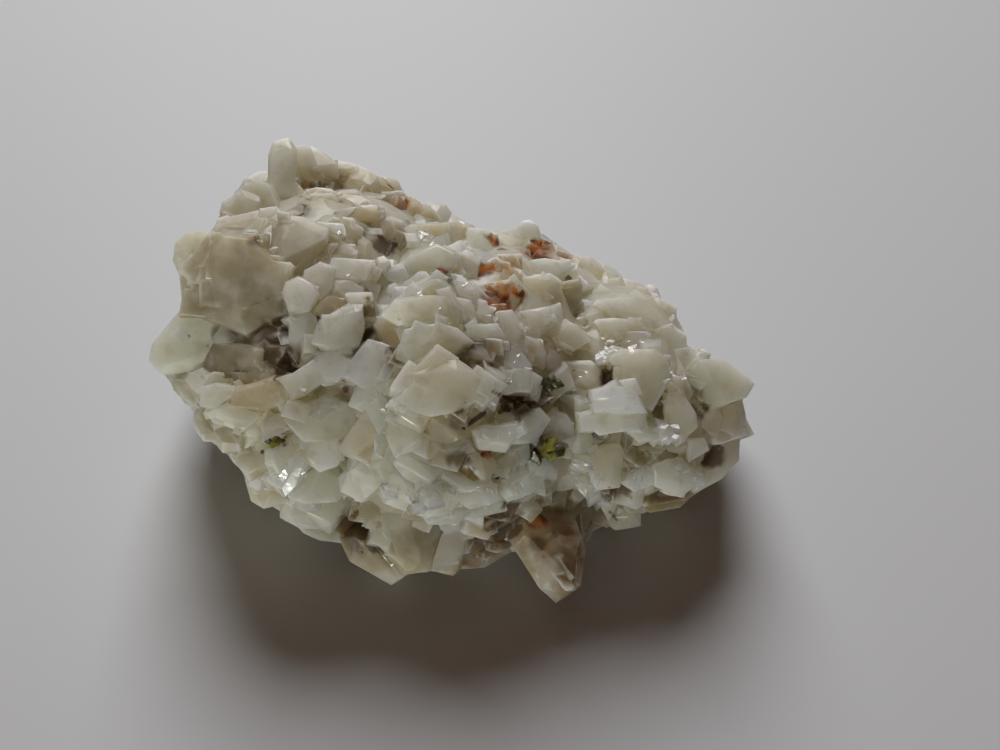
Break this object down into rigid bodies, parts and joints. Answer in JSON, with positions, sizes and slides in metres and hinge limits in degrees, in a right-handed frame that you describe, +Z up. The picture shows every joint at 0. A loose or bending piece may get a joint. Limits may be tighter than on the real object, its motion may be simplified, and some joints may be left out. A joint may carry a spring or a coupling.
{
  "type": "albite crystal cluster",
  "caption": "Hand-sized chunk of pale, milky albite: blocky crystals grown together, with small green crystals and rusty stains, resting on a flat broken base.",
  "frame": {"origin": "On the resting plane, under the middle of the specimen's box.", "axes": "+Z up, +X along the specimen's long way towards its pointed end, -Y towards the side with the green crystals."},
  "size_m": [0.0502, 0.0348, 0.026],
  "materials": {
    "albite": "vitreous to pearly, milky translucent",
    "green_mineral": "vitreous, yellow-green",
    "green_mineral_dark": "vitreous, dark green"
  },
  "bodies": {
    "root": {"albite_cluster": "albite", "green_crystal_large": "green_mineral", "green_crystal_small": "green_mineral_dark", "green_crystal_left": "green_mineral"}
  },
  "joints": []
}
